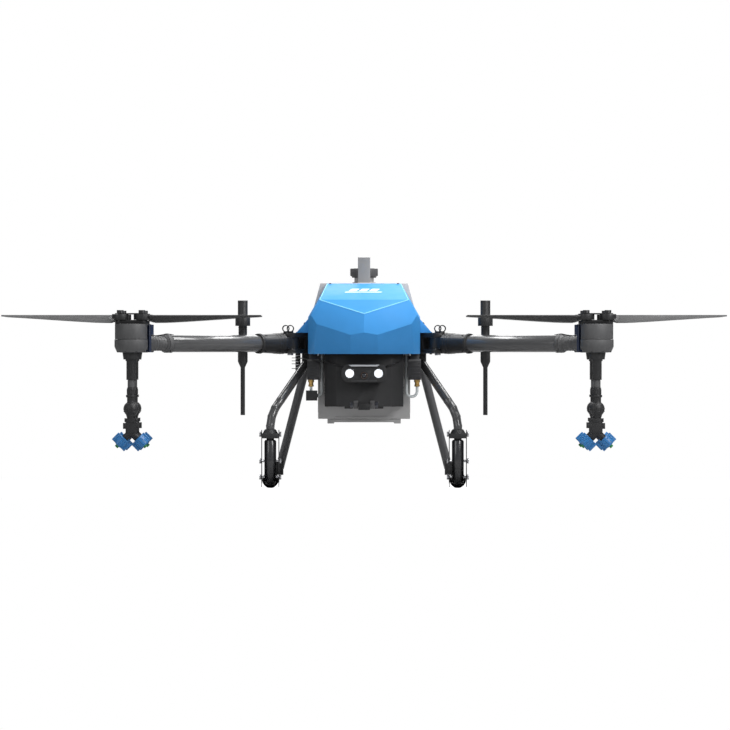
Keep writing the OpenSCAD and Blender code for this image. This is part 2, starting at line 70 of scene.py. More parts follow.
# picture: a far camera with a narrow lens, in metres
CAM_BACK = 78.0
CAM_SIDE = 0.0022
CAM_HEIGHT = 0.290
PICTURE_WIDTH = 1.713
FLOOR_HALF = 6.0
FLOOR_GREY = 0.38
FLOOR_GLOW = 0.84
STUDIO_LIGHT = 0.34

# materials: sizes of the noise and the weave, depth of the relief in metres
BROAD_SCALE = 14.0
PATCH_SCALE = 45.0
WEAVE_SCALE = 420.0
RELIEF_DEPTH = 0.0004
COAT_ROUGHNESS = 0.08
GLOSS_SPREAD = 0.18

# shapes: bevels, rings and shading
BEVEL_SEGMENTS = 2
BEVELLED_ANGLE = math.radians(35.0)
RING_SECTION = 12
SHARP_ADDED = math.radians(40.0)
SHARP_CAD = math.radians(30.0)
MERGE_DISTANCE = 0.00002
FLAT_ANGLE = math.radians(1.0)
BOX_FACES = ((0, 3, 2, 1), (4, 5, 6, 7), (0, 1, 5, 4), (1, 2, 6, 5), (2, 3, 7, 6), (3, 0, 4, 7))

# places on the drone, in millimetres
MARK_LOW, MARK_TOP = 0.05, 0.5
BOX_FRONT = -175
LAMP_Z, LENS_Z = 270, 265.5
CAP_SIDE, CAP_HEIGHT, TIP_FROM = 23, 109.5, 11.4
BLADE_ROOT = 47
LEG_X, FORK_Y = 221, -165
PUMP_X, PUMP_Y = 125, -127.5


# ---- materials ----

MAT = {}


def ramp_between(tree, source, low, high):
    """A value that wanders between low and high with the source."""
    node = tree.nodes.new("ShaderNodeMapRange")
    node.inputs["From Min"].default_value = 0.3
    node.inputs["From Max"].default_value = 0.7
    node.inputs["To Min"].default_value = low
    node.inputs["To Max"].default_value = high
    tree.links.new(source, node.inputs["Value"])
    return node.outputs["Result"]


def noise(tree, coord, scale, detail=4.0):
    """Soft noise over the surface, the finer the larger the scale."""
    node = tree.nodes.new("ShaderNodeTexNoise")
    node.inputs["Scale"].default_value = scale
    node.inputs["Detail"].default_value = detail
    tree.links.new(coord, node.inputs["Vector"])
    return node.outputs["Fac"]


def mix_colour(tree, fac, a, b):
    """A colour between a and b."""
    node = tree.nodes.new("ShaderNodeMix")
    node.data_type = "RGBA"
    node.inputs[6].default_value = (*a, 1)
    node.inputs[7].default_value = (*b, 1)
    tree.links.new(fac, node.inputs[0])
    return node.outputs[2]


def surface(name, colour, rough, metal=0.0, grain=900.0, bump=0.06, worn=0.12,
            coat=0.0, glow=0.0, weave=False, transmission=0.0, gloss=0.5):
    """A painted, moulded or machined surface: grain in the relief, and wear in colour and gloss."""
    mat = bpy.data.materials.new(name)
    mat.use_nodes = True
    tree = mat.node_tree
    shader = tree.nodes["Principled BSDF"]
    shader.inputs["Metallic"].default_value = metal
    shader.inputs["Specular IOR Level"].default_value = gloss
    if coat:
        shader.inputs["Coat Weight"].default_value = coat
        shader.inputs["Coat Roughness"].default_value = COAT_ROUGHNESS
    if transmission:
        shader.inputs["Transmission Weight"].default_value = transmission
    if glow:
        shader.inputs["Emission Color"].default_value = (*colour, 1)
        shader.inputs["Emission Strength"].default_value = glow
    coord = tree.nodes.new("ShaderNodeTexCoord").outputs["Object"]
    broad = noise(tree, coord, BROAD_SCALE, 3.0)
    spread = GLOSS_SPREAD * rough
    rough_out = ramp_between(tree, broad, max(0.02, rough - spread), min(1.0, rough + spread))
    tree.links.new(rough_out, shader.inputs["Roughness"])
    dark = tuple(c * (1 - worn) for c in colour)
    light = tuple(min(1.0, c * (1 + worn) + 0.002) for c in colour)
    relief = tree.nodes.new("ShaderNodeBump")
    relief.inputs["Strength"].default_value = bump
    relief.inputs["Distance"].default_value = RELIEF_DEPTH
    if weave:
        check = tree.nodes.new("ShaderNodeTexChecker")
        check.inputs["Scale"].default_value = WEAVE_SCALE
        tree.links.new(coord, check.inputs["Vector"])
        tree.links.new(mix_colour(tree, check.outputs["Fac"], dark, light), shader.inputs["Base Color"])
        tree.links.new(check.outputs["Fac"], relief.inputs["Height"])
    else:
        patches = noise(tree, coord, PATCH_SCALE)
        tree.links.new(mix_colour(tree, patches, dark, light), shader.inputs["Base Color"])
        tree.links.new(noise(tree, coord, grain, 5.0), relief.inputs["Height"])
    tree.links.new(relief.outputs["Normal"], shader.inputs["Normal"])
    MAT[name] = mat


surface("carbon_plate", (0.014, 0.014, 0.016), 0.35, weave=True, bump=0.12, coat=0.4)
surface("black_alloy", (0.012, 0.012, 0.013), 0.40, metal=0.2, grain=1500)
surface("steel", (0.62, 0.62, 0.64), 0.28, metal=1.0, grain=2200, bump=0.04)
surface("blue_shell", (0.046, 0.272, 0.640), 0.56, grain=1300, bump=0.02, worn=0.05, gloss=0.22)
surface("black_plastic", (0.010, 0.010, 0.011), 0.52, grain=1800, bump=0.10)
surface("lamp_lens", (0.92, 0.95, 1.0), 0.12, grain=600, bump=0.02, glow=0.55, worn=0.02)
surface("carbon_tube", (0.062, 0.062, 0.064), 0.20, weave=True, bump=0.06, coat=0.3, worn=0.10)
surface("grey_tube", (0.022, 0.022, 0.024), 0.28, grain=1500, coat=0.5)
surface("rubber_foot", (0.014, 0.014, 0.014), 0.72, grain=1600, bump=0.16)
surface("pump_plastic", (0.014, 0.014, 0.016), 0.45, grain=1600, bump=0.10)
surface("lens_ring", (0.110, 0.070, 0.052), 0.35, metal=0.5, grain=1500, bump=0.04)
surface("clear_hose", (0.80, 0.84, 0.85), 0.16, grain=500, bump=0.03, worn=0.05, transmission=0.35)
surface("module_plastic", (0.020, 0.020, 0.022), 0.5, grain=1500, bump=0.1)
surface("tank_plastic", (0.400, 0.395, 0.395), 0.40, grain=1200, bump=0.07, worn=0.07)
surface("battery_case", (0.022, 0.022, 0.025), 0.46, grain=1700, bump=0.11)
surface("grey_alloy", (0.070, 0.070, 0.072), 0.55, grain=1500, bump=0.05)
surface("blue_caps", (0.018, 0.140, 0.360), 0.36, grain=1400, bump=0.05, worn=0.08)
surface("blade_composite", (0.058, 0.058, 0.059), 0.62, grain=1400, bump=0.06, worn=0.08, gloss=0.06)
surface("antenna_plastic", (0.009, 0.009, 0.010), 0.50, grain=1700, bump=0.09)
surface("green_tip", (0.010, 0.200, 0.045), 0.4, grain=1400, bump=0.05)
surface("brass", (0.70, 0.45, 0.16), 0.30, metal=1.0, grain=1800, bump=0.04)
surface("white_mark", (0.78, 0.82, 0.86), 0.45, grain=1200, bump=0.03, worn=0.03)
# a very dark blue for the end blocks by the motors: a blue part, darkened with painted shade
surface("dark_blue_painted_shade", (0.005, 0.015, 0.050), 0.4, grain=1400, bump=0.05)
surface("copper", (0.55, 0.22, 0.08), 0.38, metal=0.9, grain=1800, bump=0.08)
surface("dark_glass", (0.010, 0.012, 0.020), 0.06, grain=400, bump=0.01, coat=1.0)
surface("handle_grey", (0.205, 0.204, 0.204), 0.42, grain=1200, bump=0.07, worn=0.06)
surface("cap_grey", (0.070, 0.070, 0.074), 0.45, grain=1500, bump=0.08)
surface("leg_grey", (0.070, 0.070, 0.074), 0.36, grain=1500, coat=0.2)
# the visor's pale grey is partly the frosted strip's own colour and partly a painted highlight along its
# top ledge
surface("visor_grey_with_highlight", (0.420, 0.430, 0.450), 0.35, grain=1200, bump=0.03, worn=0.05)
# painted highlight: a light blue for the rods on the shell's raised edges, where the bevels catch the
# light
surface("painted_highlight_blue", (0.22, 0.62, 0.95), 0.4, grain=1300, bump=0.02, worn=0.03)
# a pale white: the colour of the small squares on the battery, and a painted glint on the screw heads
# under the plate
surface("pale_white_and_glint", (0.85, 0.87, 0.90), 0.30, grain=900, bump=0.03, worn=0.03)


# ---- building helpers ----

class Shape:
    """Collects solids, drawn in millimetres and each with a material, into one piece."""

    def __init__(self, place=Matrix.Identity(4)):
        self.bm = bmesh.new()
        self.place = place @ Matrix.Scale(MM, 4)
        self.mats = []

    def _points(self, points, at=None):
        m = self.place @ (at or Matrix.Identity(4))
        return [self.bm.verts.new(m @ Vector(p)) for p in points]

    def _band(self, a, b):
        """Quads between two rings of as many points."""
        for i in range(len(a)):
            k = (i + 1) % len(a)
            self.bm.faces.new([a[i], a[k], b[k], b[i]])

    def _close(self, verts, mat, bevel=0.0):
        """Turns the faces of verts outward, gives them mat and softens their sharp edges."""
        if mat not in self.mats:
            self.mats.append(mat)
        index = self.mats.index(mat)
        faces = list({f for v in verts for f in v.link_faces})
        bmesh.ops.recalc_face_normals(self.bm, faces=faces)
        for f in faces:
            f.material_index = index
            f.smooth = True
        if bevel:
            edges = [e for e in {e for f in faces for e in f.edges}
                     if len(e.link_faces) == 2 and e.calc_face_angle(0) > BEVELLED_ANGLE]
            got = bmesh.ops.bevel(self.bm, geom=edges, offset=bevel * MM, segments=BEVEL_SEGMENTS,
                                  profile=0.5, affect="EDGES", clamp_overlap=True)
            for f in got["faces"]:
                f.material_index = index
                f.smooth = True

    def solid(self, points, faces, mat, bevel=0.0, at=None):
        """A closed solid from its points and the faces between them."""
        verts = self._points(points, at)
        for f in faces:
            self.bm.faces.new([verts[i] for i in f])
        self._close(verts, mat, bevel)

    def block(self, a, b, mat, bevel=0.6, at=None):
        """A box between two opposite corners."""
        (x0, x1), (y0, y1), (z0, z1) = (sorted(pair) for pair in zip(a, b))
        points = [(x0, y0, z0), (x1, y0, z0), (x1, y1, z0), (x0, y1, z0),
                  (x0, y0, z1), (x1, y0, z1), (x1, y1, z1), (x0, y1, z1)]
        self.solid(points, BOX_FACES, mat, bevel, at)

    def prism(self, outline, y0, y1, mat, bevel):
        """A front view outline (x, z) drawn through from y0 to y1."""
        n = len(outline)
        points = [(x, y0, z) for x, z in outline] + [(x, y1, z) for x, z in outline]
        faces = [tuple(range(n)), tuple(range(2 * n - 1, n - 1, -1))]
        faces += [(i, (i + 1) % n, n + (i + 1) % n, n + i) for i in range(n)]
        self.solid(points, faces, mat, bevel)

    def lathe(self, profile, mat, at=None, sides=48, flute=None):
        """Turns (radius, height) points about Z. Radius 0 closes an end, and flute is (count, depth)."""
        rings = []
        for r, z in profile:
            if r <= 0:
                rings.append(self._points([(0, 0, z)], at))
                continue
            points = []
            for i in range(sides):
                a = 2 * math.pi * i / sides
                rr = r * (1 - flute[1] * (0.5 + 0.5 * math.cos(flute[0] * a))) if flute else r
                points.append((rr * math.cos(a), rr * math.sin(a), z))
            rings.append(self._points(points, at))
        for a, b in zip(rings, rings[1:]):
            if len(a) == len(b) == sides:
                self._band(a, b)
                continue
            for i in range(sides):
                k = (i + 1) % sides
                if len(b) == sides:
                    self.bm.faces.new([a[0], b[k], b[i]])
                elif len(a) == sides:
                    self.bm.faces.new([a[i], a[k], b[0]])
        if len(rings[0]) > 1:
            self.bm.faces.new(list(reversed(rings[0])))
        if len(rings[-1]) > 1:
            self.bm.faces.new(rings[-1])
        self._close([v for ring in rings for v in ring], mat)

    def rod(self, p, q, r, mat, sides=24):
        """A round bar from p to q with softened rims."""
        p, q = Vector(p), Vector(q)
        length = (q - p).length
        edge = min(0.4, length / 4, r / 3)
        self.lathe([(0, 0), (r - edge, 0), (r, edge), (r, length - edge), (r - edge, length), (0, length)],
                   mat, standing(p, q - p), sides)

    def bolt(self, p, direction, r, mat, height, socket=True):
        """A screw head standing on p: round with a socket, or a plain hexagon."""
        e = r * 0.15
        top = [(r * 0.55, height), (r * 0.5, height * 0.5), (0, height * 0.5)] if socket else [(0, height)]
        self.lathe([(0, 0), (r, 0), (r, height - e), (r - e, height)] + top,
                   mat, standing(p, direction), 20 if socket else 6)

    def ring(self, centre, axis, big, small, mat, sides=40):
        """A ring of radius big whose round section has radius small."""
        at = standing(centre, axis)
        rings = []
        for i in range(sides):
            a = 2 * math.pi * i / sides
            around = (2 * math.pi * j / RING_SECTION for j in range(RING_SECTION))
            rings.append(self._points([((big + small * math.cos(b)) * math.cos(a),
                                        (big + small * math.cos(b)) * math.sin(a),
                                        small * math.sin(b)) for b in around], at))
        for a, b in zip(rings, rings[1:] + [rings[0]]):
            self._band(a, b)
        self._close([v for ring in rings for v in ring], mat)

    def tube(self, points, r, mat, sides=14):
        """A round cable along a smooth path."""
        path = smooth_path([Vector(p) for p in points])
        up = Vector((0.13, 0.21, 1)).normalized()
        rings = []
        for i, p in enumerate(path):
            d = (path[min(i + 1, len(path) - 1)] - path[max(i - 1, 0)]).normalized()
            u = d.cross(up).normalized()
            v = d.cross(u)
            around = (2 * math.pi * j / sides for j in range(sides))
            rings.append(self._points([p + r * (math.cos(a) * u + math.sin(a) * v) for a in around]))
        for a, b in zip(rings, rings[1:]):
            self._band(a, b)
        self.bm.faces.new(list(reversed(rings[0])))
        self.bm.faces.new(rings[-1])
        self._close([v for ring in rings for v in ring], mat)

    def done(self, name, body, *replaced, slot):
        """Makes the piece, which rides its body and may stand for CAD nodes."""
        mesh = bpy.data.meshes.new(name)
        self.bm.to_mesh(mesh)
        self.bm.free()
        for m in self.mats:
            mesh.materials.append(MAT[m])
        mesh.set_sharp_from_angle(angle=SHARP_ADDED)
        obj = bpy.data.objects.new(name, mesh)
        bpy.context.scene.collection.objects.link(obj)
        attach(obj, body)
        if replaced:
            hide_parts(*replaced)


def standing(p, direction):
    """Axes at p with Z along the direction."""
    return Matrix.Translation(Vector(p)) @ Vector(direction).to_track_quat("Z", "Y").to_matrix().to_4x4()


def smooth_path(points, steps=6):
    """Catmull-Rom through the points."""
    out = []
    ext = [2 * points[0] - points[1]] + points + [2 * points[-1] - points[-2]]
    for i in range(1, len(ext) - 2):
        p0, p1, p2, p3 = ext[i - 1:i + 3]
        for s in range(steps):
            t = s / steps
            out.append(0.5 * ((2 * p1) + (p2 - p0) * t + (2 * p0 - 5 * p1 + 4 * p2 - p3) * t * t
                              + (3 * p1 - p0 - 3 * p2 + p3) * t ** 3))
    out.append(points[-1])
    return out


def box_mm(node):
    """The node's lowest and highest corners in millimetres."""
    return [Vector(c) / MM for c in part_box(node)]


def upright(node):
    """Axes on the floor below the middle of the node."""
    lo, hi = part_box(node)
    return Matrix.Translation(((lo[0] + hi[0]) / 2, (lo[1] + hi[1]) / 2, 0))


def arm_place(k):
    """Arm axes: x outward along the arm from the hinge."""
    p = joints["arm_fold_" + k]["pos_m"]
    m = upright("motor_bell_" + k).translation
    turn = math.atan2(m.y - p[1], m.x - p[0])
    return Matrix.Translation((p[0], p[1], 0)) @ Matrix.Rotation(turn, 4, "Z")


def arm_reach(k):
    """Millimetres from the hinge to the motor's axis."""
    p = joints["arm_fold_" + k]["pos_m"]
    m = upright("motor_bell_" + k).translation
    return math.hypot(m.x - p[0], m.y - p[1]) / MM


def refine(node, width, sharp, facets):
    """A copy of the CAD node with softened edges stands for it."""
    source = nodes[node]
    mesh = source.data.copy()
    bm = bmesh.new()
    bm.from_mesh(mesh)
    bmesh.ops.remove_doubles(bm, verts=bm.verts, dist=MERGE_DISTANCE)
    bmesh.ops.dissolve_limit(bm, angle_limit=FLAT_ANGLE, verts=bm.verts, edges=bm.edges)
    bm.to_mesh(mesh)
    bm.free()
    obj = bpy.data.objects.new(node + ".fine", mesh)
    bpy.context.scene.collection.objects.link(obj)
    mod = obj.modifiers.new("edge", "BEVEL")
    mod.width = width
    mod.segments = BEVEL_SEGMENTS
    mod.limit_method = "ANGLE"
    mod.angle_limit = math.radians(sharp)
    mod.use_clamp_overlap = True
    bpy.context.view_layer.update()
    graph = bpy.context.evaluated_depsgraph_get()
    made = bpy.data.meshes.new_from_object(obj.evaluated_get(graph))
    obj.modifiers.clear()
    obj.data = made
    lo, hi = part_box(node)
    for v in made.vertices:
        v.co = [min(max(c, a), b) for c, a, b in zip(v.co, lo, hi)]
    made.materials.clear()
    made.materials.append(MAT[slot_of[node]])
    for p in made.polygons:
        p.material_index = 0
        p.use_smooth = not facets
    made.set_sharp_from_angle(angle=SHARP_CAD)
    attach(obj, body_of[node])
    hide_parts(node)
    return obj


# ---- camera, floor and light ----

lo, hi = box_at_load
centre = (lo + hi) / 2
cam_data = bpy.data.cameras.new("camera")
cam_data.sensor_width = 36.0
cam_data.lens = cam_data.sensor_width * CAM_BACK / PICTURE_WIDTH
cam_data.clip_end = CAM_BACK + 40.0
cam = bpy.data.objects.new("camera", cam_data)
bpy.context.scene.collection.objects.link(cam)
cam.location = (centre.x + CAM_SIDE, lo.y - CAM_BACK, CAM_HEIGHT)
cam.rotation_euler = (math.radians(90), 0, 0)
bpy.context.scene.camera = cam

floor_mesh = bpy.data.meshes.new("floor")
f = FLOOR_HALF
floor_mesh.from_pydata([(-f, -f, 0), (f, -f, 0), (f, f, 0), (-f, f, 0)], [], [(0, 1, 2, 3)])
floor = bpy.data.objects.new("floor", floor_mesh)
bpy.context.scene.collection.objects.link(floor)
pale = bpy.data.materials.new("floor")
pale.use_nodes = True
tree = pale.node_tree
tree.nodes.clear()
shadowed = tree.nodes.new("ShaderNodeBsdfDiffuse")
shadowed.inputs["Color"].default_value = (FLOOR_GREY, FLOOR_GREY, FLOOR_GREY, 1)
bright = tree.nodes.new("ShaderNodeEmission")
bright.inputs["Color"].default_value = (1, 1, 1, 1)
bright.inputs["Strength"].default_value = FLOOR_GLOW
both = tree.nodes.new("ShaderNodeAddShader")
tree.links.new(shadowed.outputs["BSDF"], both.inputs[0])
tree.links.new(bright.outputs["Emission"], both.inputs[1])
seen_floor = tree.nodes.new("ShaderNodeMixShader")
tree.links.new(tree.nodes.new("ShaderNodeLightPath").outputs["Is Camera Ray"], seen_floor.inputs["Fac"])
tree.links.new(shadowed.outputs["BSDF"], seen_floor.inputs[1])
tree.links.new(both.outputs["Shader"], seen_floor.inputs[2])
tree.links.new(seen_floor.outputs["Shader"], tree.nodes.new("ShaderNodeOutputMaterial").inputs["Surface"])
floor_mesh.materials.append(pale)

world = bpy.data.worlds.new("studio")
bpy.context.scene.world = world
world.use_nodes = True
tree = world.node_tree
tree.nodes.clear()
path = tree.nodes.new("ShaderNodeLightPath")
seen = tree.nodes.new("ShaderNodeBackground")
seen.inputs["Color"].default_value = (1, 1, 1, 1)
seen.inputs["Strength"].default_value = 1.0
lit = tree.nodes.new("ShaderNodeBackground")
lit.inputs["Color"].default_value = (0.96, 0.98, 1.0, 1)
lit.inputs["Strength"].default_value = STUDIO_LIGHT
blend = tree.nodes.new("ShaderNodeMixShader")
tree.links.new(path.outputs["Is Camera Ray"], blend.inputs["Fac"])
tree.links.new(lit.outputs["Background"], blend.inputs[1])
tree.links.new(seen.outputs["Background"], blend.inputs[2])
out = tree.nodes.new("ShaderNodeOutputWorld")
tree.links.new(blend.outputs["Shader"], out.inputs["Surface"])
bpy.context.scene.view_settings.view_transform = "Standard"


def lamp(name, place, aim, size, watts, depth=None):
    """A soft area light at place, aimed at a point, in metres."""
    data = bpy.data.lights.new(name, "AREA")
    data.size = size
    if depth:
        data.shape = "RECTANGLE"
        data.size_y = depth
    data.energy = watts
    obj = bpy.data.objects.new(name, data)
    bpy.context.scene.collection.objects.link(obj)
    obj.location = place
    obj.rotation_euler = (Vector(aim) - Vector(place)).to_track_quat("-Z", "Y").to_euler()


lamp("top", (1.0, -0.8, 3.1), (0, 0, 0.3), 1.7, 108)
lamp("key", (2.6, -3.1, 2.1), (0, 0, 0.35), 1.4, 84)
lamp("fill", (-2.6, -3.0, 1.4), (0, 0, 0.3), 1.6, 20)
lamp("back", (0, 3.4, 2.2), (0, 0, 0.3), 2.0, 34)
for s in (-1, 1):
    lamp("strip", (s * 1.3, 0.9, 2.7), (-s * 0.4, -0.3, 0.34), 1.6, 26, depth=0.35)


# ---- carried CAD pieces with softened edges ----

# width of the softened edge of each piece, in millimetres
EDGE = {"frame_plates": 0.5, "arm_mounts": 0.8, "steel_pins_bolts": 0.5, "head_shell": 1.5,
        "electronics_box": 1.4, "camera_pod": 1.6, "battery_tray": 1.0,
        "landing_legs": 0.5, "skids": 0.5, "skid_feet": 1.0, "leg_brackets": 1.0, "pumps": 1.0,
        "side_modules": 0.7, "tank": 3.0, "filler_cap": 1.6, "battery": 2.4, "hoses": 0.2}
for prefix, width in (("lock_pin", 0.5), ("arm_hinge", 1.0), ("arm_tube", 0.5), ("motor_base", 1.2),
                      ("nozzle", 0.8), ("spray_caps", 1.2), ("antenna", 0.8), ("motor_bell", 1.4),
                      ("prop_hub", 0.8), ("blade_out", 0.4), ("blade_in", 0.4)):
    for k in CORNERS:
        if prefix + "_" + k in nodes:
            EDGE[prefix + "_" + k] = width
fine = {}
for name, width in EDGE.items():
    # the blue shell keeps its flat facets, so even its gentle edges are softened
    shell = name == "head_shell"
    fine[name] = refine(name, width * MM, sharp=4.0 if shell else 28.0, facets=shell)


def repaint(node, mat, wanted):
    """Gives another material to the faces whose centre is wanted."""
    mesh = fine[node].data
    mesh.materials.append(MAT[mat])
    for p in mesh.polygons:
        if wanted(p.center / MM):
            p.material_index = len(mesh.materials) - 1


repaint("tank", "handle_grey", lambda c: c.z > 485 and c.y < 0 and abs(c.x) < 16)
repaint("filler_cap", "cap_grey", lambda c: True)
repaint("landing_legs", "leg_grey", lambda c: c.y > 60)
repaint("steel_pins_bolts", "black_alloy", lambda c: c.z > 365)
for k in CORNERS:
    repaint("lock_pin_" + k, "black_alloy", lambda c: c.z > 365)


# ---- lamps, camera lens and visor ----

def along_front(x, z, y):
    """Axes for a round part facing the front."""
    return Matrix.Translation((x, y, z)) @ Matrix.Rotation(math.radians(90), 4, "X")


pod_front = box_mm("camera_pod")[0].y
optics = Shape()
for x in (-34, 34):
    at = along_front(x, LAMP_Z, pod_front + 8)
    optics.lathe([(0, 0), (10.9, 0), (10.9, 8.6), (10.7, 9.4), (10.3, 9.4),
                  (10.1, 8.6), (0, 8.4)], "black_plastic", at)
    optics.lathe([(0, 8.45), (10.2, 8.45), (8.6, 9.3), (4, 9.9), (0, 10)],
                 "lamp_lens", at)
at = along_front(0, LENS_Z, pod_front + 8)
optics.lathe([(0, 0), (8.9, 0), (8.9, 10.6), (8.0, 11.6), (6.4, 11.6),
              (5.6, 9.6), (0, 9.4)], "black_plastic", at)
optics.lathe([(5.4, 9.5), (5.0, 10.0), (3.0, 10.9), (0, 11.2)], "dark_glass", at)
optics.ring((0, pod_front - 3.5, LENS_Z), (0, -1, 0), 7.2, 0.6, "lens_ring")
for x in (-34, 34):
    optics.ring((x, pod_front - 1.2, LAMP_Z), (0, -1, 0), 10.5, 0.35, "steel")
# the pale visor strip over the lamps: its light grey is partly a painted highlight of the upward-facing
# ledge
optics.prism([(-37, 290.6), (-31, 286.4), (31, 286.4), (37, 290.6)],
             pod_front - 7.5, pod_front, "visor_grey_with_highlight", bevel=0.8)
optics.done("camera_optics.fine", "airframe", "camera_optics", slot="lamp_lens")

pod = Shape()
pod.prism([(-16, 277), (-12, 254), (12, 254), (16, 277)],
          pod_front - 0.8, pod_front + 0.5, "black_plastic", bevel=0.5)
for z in (251.6, 253.4):
    pod.block((-30, pod_front - 0.5, z), (30, pod_front + 0.5, z + 0.7),
              "grey_alloy", bevel=0.2)
pod.done("camera_trim", "airframe", slot="black_plastic")


# ---- blue shell: generic mark, trim and fixings ----

deck_top = Vector((0, -96, 482))
deck_low = Vector((0, -240, 444))
up = (deck_top - deck_low).normalized()
right = Vector((1, 0, 0))
out_of = right.cross(up).normalized()
deck = Matrix((right, up, out_of)).transposed().to_4x4()
deck.translation = (deck_top + deck_low) / 2 * MM
mark = Shape(deck)


def flat_bar(shape, x0, x1, y0, y1, lean, mat):
    """A thin bar on the deck that leans over by lean at its upper side."""
    outline = ((x0, y0), (x1, y0), (x1 + lean, y1), (x0 + lean, y1))
    shape.solid([(x, y, z) for z in (MARK_LOW, MARK_TOP) for x, y in outline], BOX_FACES, mat)


def corner(*planes):
    """The point that three planes share; each plane is a point and an outward normal."""
    rows = Matrix([n for _, n in planes])
    return rows.inverted() @ Vector([Vector(p).dot(Vector(n)) for p, n in planes])


# light blue rods along the raised edges of the deck and of the V below it: a painted highlight standing
# for the lit bevels
painted_highlights = Shape()
for s in (-1, 1):
    deck_plane = ((87, -96, 482), (0, -38, 144))
    v_plane = ((0, -267, 411), (0, -33, 27))
    side_plane = ((87 * s, -96, 482), (s, -0.0257, 0.5712))
    front_plane = ((0, -267, 411), (0.2 * s, -1, 0.18))
    low_corner = corner(v_plane, side_plane, front_plane)
    high_corner = corner(deck_plane, side_plane, ((0, -97.5, 0), (0, 1, 0)))
    inward = Vector((-s * 0.5, 0.6, -0.6))
    painted_highlights.rod(Vector((0, -266.6, 410.6)), low_corner + inward, 1.3, "painted_highlight_blue", sides=12)
    painted_highlights.rod(low_corner + inward, high_corner + inward, 1.1, "painted_highlight_blue", sides=12)
painted_highlights.done("shell_painted_highlights", "airframe", slot="blue_shell")

for x in (-36, -12, 12):
    flat_bar(mark, x, x + 17, 4, 24, 8, "white_mark")
flat_bar(mark, -46, 40, -9, -3, 3, "white_mark")
mark.done("shell_mark", "airframe", slot="blue_shell")

trim = Shape()
for s in (-1, 1):
    for x, y, z in ((80, -100, 481.6), (140, -112, 388.5), (140, -138, 388.5)):
        n = (0, 0, 1) if z > 400 else (s * 0.76, 0, 0.65)
        trim.bolt((s * x, y, z), n, 2.4, "black_alloy", 1.6)
trim.block((-84, -97.5, 478.5), (84, -95.2, 480.5), "black_plastic")
trim.done("shell_fixings", "airframe", slot="steel")


# ---- front box ----

front = Shape()
y = BOX_FRONT
for s in (-1, 1):
    front.block((s * 25.6, y - 1.2, 189), (s * 33, y + 2, 203), "dark_glass", 0.5)
    front.block((s * 14, y - 2.2, 187.2), (s * 25, y + 2, 206), "grey_alloy", 1.0)
    front.block((s * 14, y - 4.5, 200), (s * 25, y + 2, 206), "grey_alloy", 1.0)
front.block((-13.2, y - 6.5, 184.2), (13.2, y + 2, 199), "black_plastic", 1.4)
for z in (187, 189.5, 192, 194.5):
    front.block((-10, y - 7.0, z), (10, y - 6.2, z + 1.1), "black_plastic", 0.3)
for s in (-1, 1):
    for z in (222, 229, 236, 243):
        front.block((s * 92.4, -145, z), (s * 93.6, -112, z + 2),
                    "black_plastic", 0.4)
front.done("front_box_trim", "airframe", slot="black_plastic")


# ---- plates: visible screws, wiring and frame nuts ----

plate = Shape()
low, high = (c.z for c in box_mm("frame_plates"))
# pale white screw heads under the plate: a painted glint standing for their highlights below the skirt
for x in (-108, -91, -83, 83, 91, 108):
    plate.bolt((x, -146, low), (0, 0, -1), 2.0, "pale_white_and_glint", 5.0, socket=False)
for x in (-136, 136):
    for yy in (-75, 10, 80):
        plate.bolt((x, yy, high), (0, 0, 1), 3.6, "black_alloy", 2.2)
        plate.bolt((x, yy, low), (0, 0, -1), 3.6, "black_alloy", 2.2)
for k in CORNERS:
    place = arm_place(k)
    for x, yy in ((-52, 15), (-52, -15), (-34, 15), (-34, -15)):
        p = (place @ (Vector((x, yy, 0)) * MM)) / MM
        if abs(p.y) < 112 or abs(p.x) > 128 or k[0] == "r":
            plate.bolt((p.x, p.y, high), (0, 0, 1), 2.9, "black_alloy", 2.0)
        plate.bolt((p.x, p.y, low), (0, 0, -1), 2.9, "black_alloy", 2.0)
for s in (-1, 1):
    plate.tube([(s * 92, -150, 303), (s * 84, -158, 298),
                (s * 74, -178, 293), (s * 62, -180, 290),
                (s * 52, -178, 286)], 1.5, "black_plastic")
plate.done("frame_screws", "airframe", slot="steel")


# ---- arms ----

def is_tip(c):
    """True at the outer end of a spray cap, with c measured from the motor's axis."""
    s = 1 if c.x > 0 else -1
    return ((c.x - s * CAP_SIDE) * s - (c.z - CAP_HEIGHT)) * math.sqrt(0.5) > TIP_FROM


